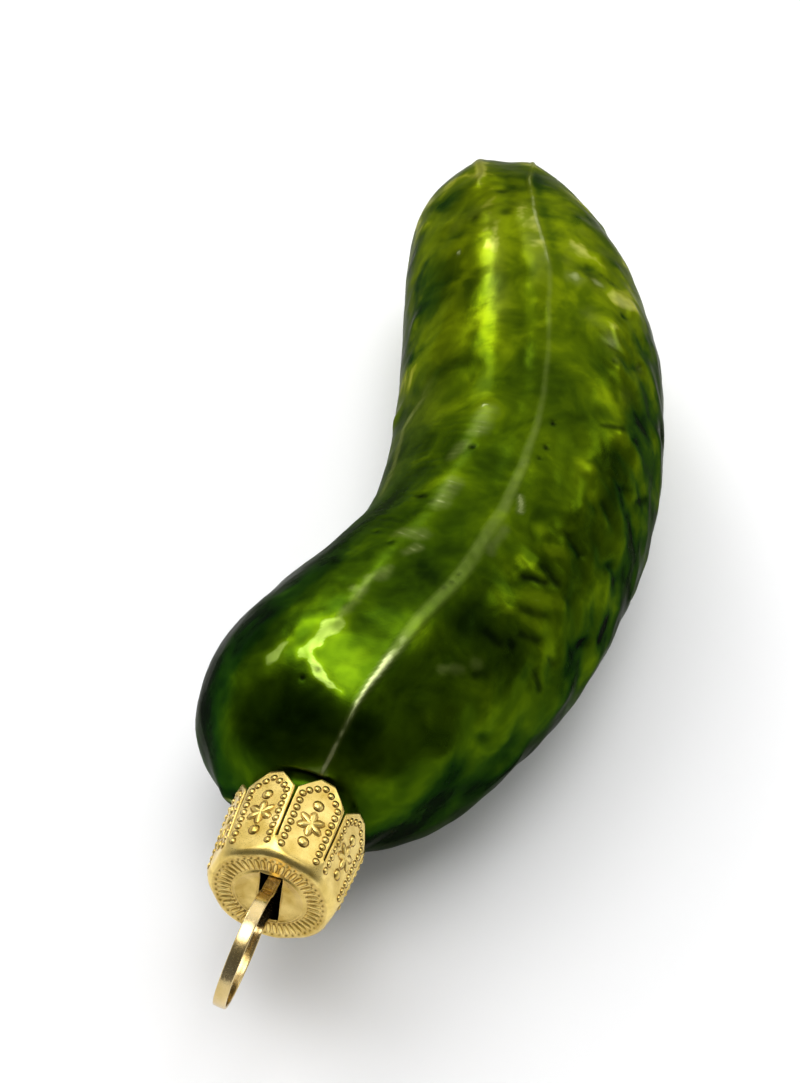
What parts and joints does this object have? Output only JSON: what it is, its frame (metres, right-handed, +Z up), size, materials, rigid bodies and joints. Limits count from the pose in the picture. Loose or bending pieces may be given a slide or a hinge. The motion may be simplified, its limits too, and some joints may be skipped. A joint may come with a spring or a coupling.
{
  "type": "pickle ornament",
  "caption": "Curved blown glass pickle ornament, silvered inside and lacquered green, with a pull-off stamped gold crown cap and a flat ribbon ring to hang it by.",
  "frame": {"origin": "on the surface it lies on, under the middle of the whole ornament", "axes": "+Y along the length from the cap to the tip, +X to the side the pickle bows out to, +Z up from the surface"},
  "size_m": [0.0434, 0.1278, 0.0325],
  "materials": {
    "green_glass": "satin green lacquer over silvered glass",
    "gold_cap": "satin stamped gold-coloured sheet",
    "gold_ribbon": "bright pale gold ribbon"
  },
  "bodies": {
    "glass": {"glass_body": "green_glass"},
    "cap": {"crown_cap": "gold_cap"},
    "hanger": {"ribbon_hanger": "gold_ribbon"}
  },
  "joints": [
    {"name": "cap_pull", "type": "slide", "parent": "glass", "child": "cap", "axis": [0, -0.9785, 0.2062], "range_m": [0, 0.016]},
    {"name": "hanger_tilt", "type": "hinge", "parent": "cap", "child": "hanger", "pos_m": [-0.00574, -0.05146, 0.02128], "axis": [0.1822, 0.2028, 0.9621], "range_deg": [-7, 12]}
  ]
}
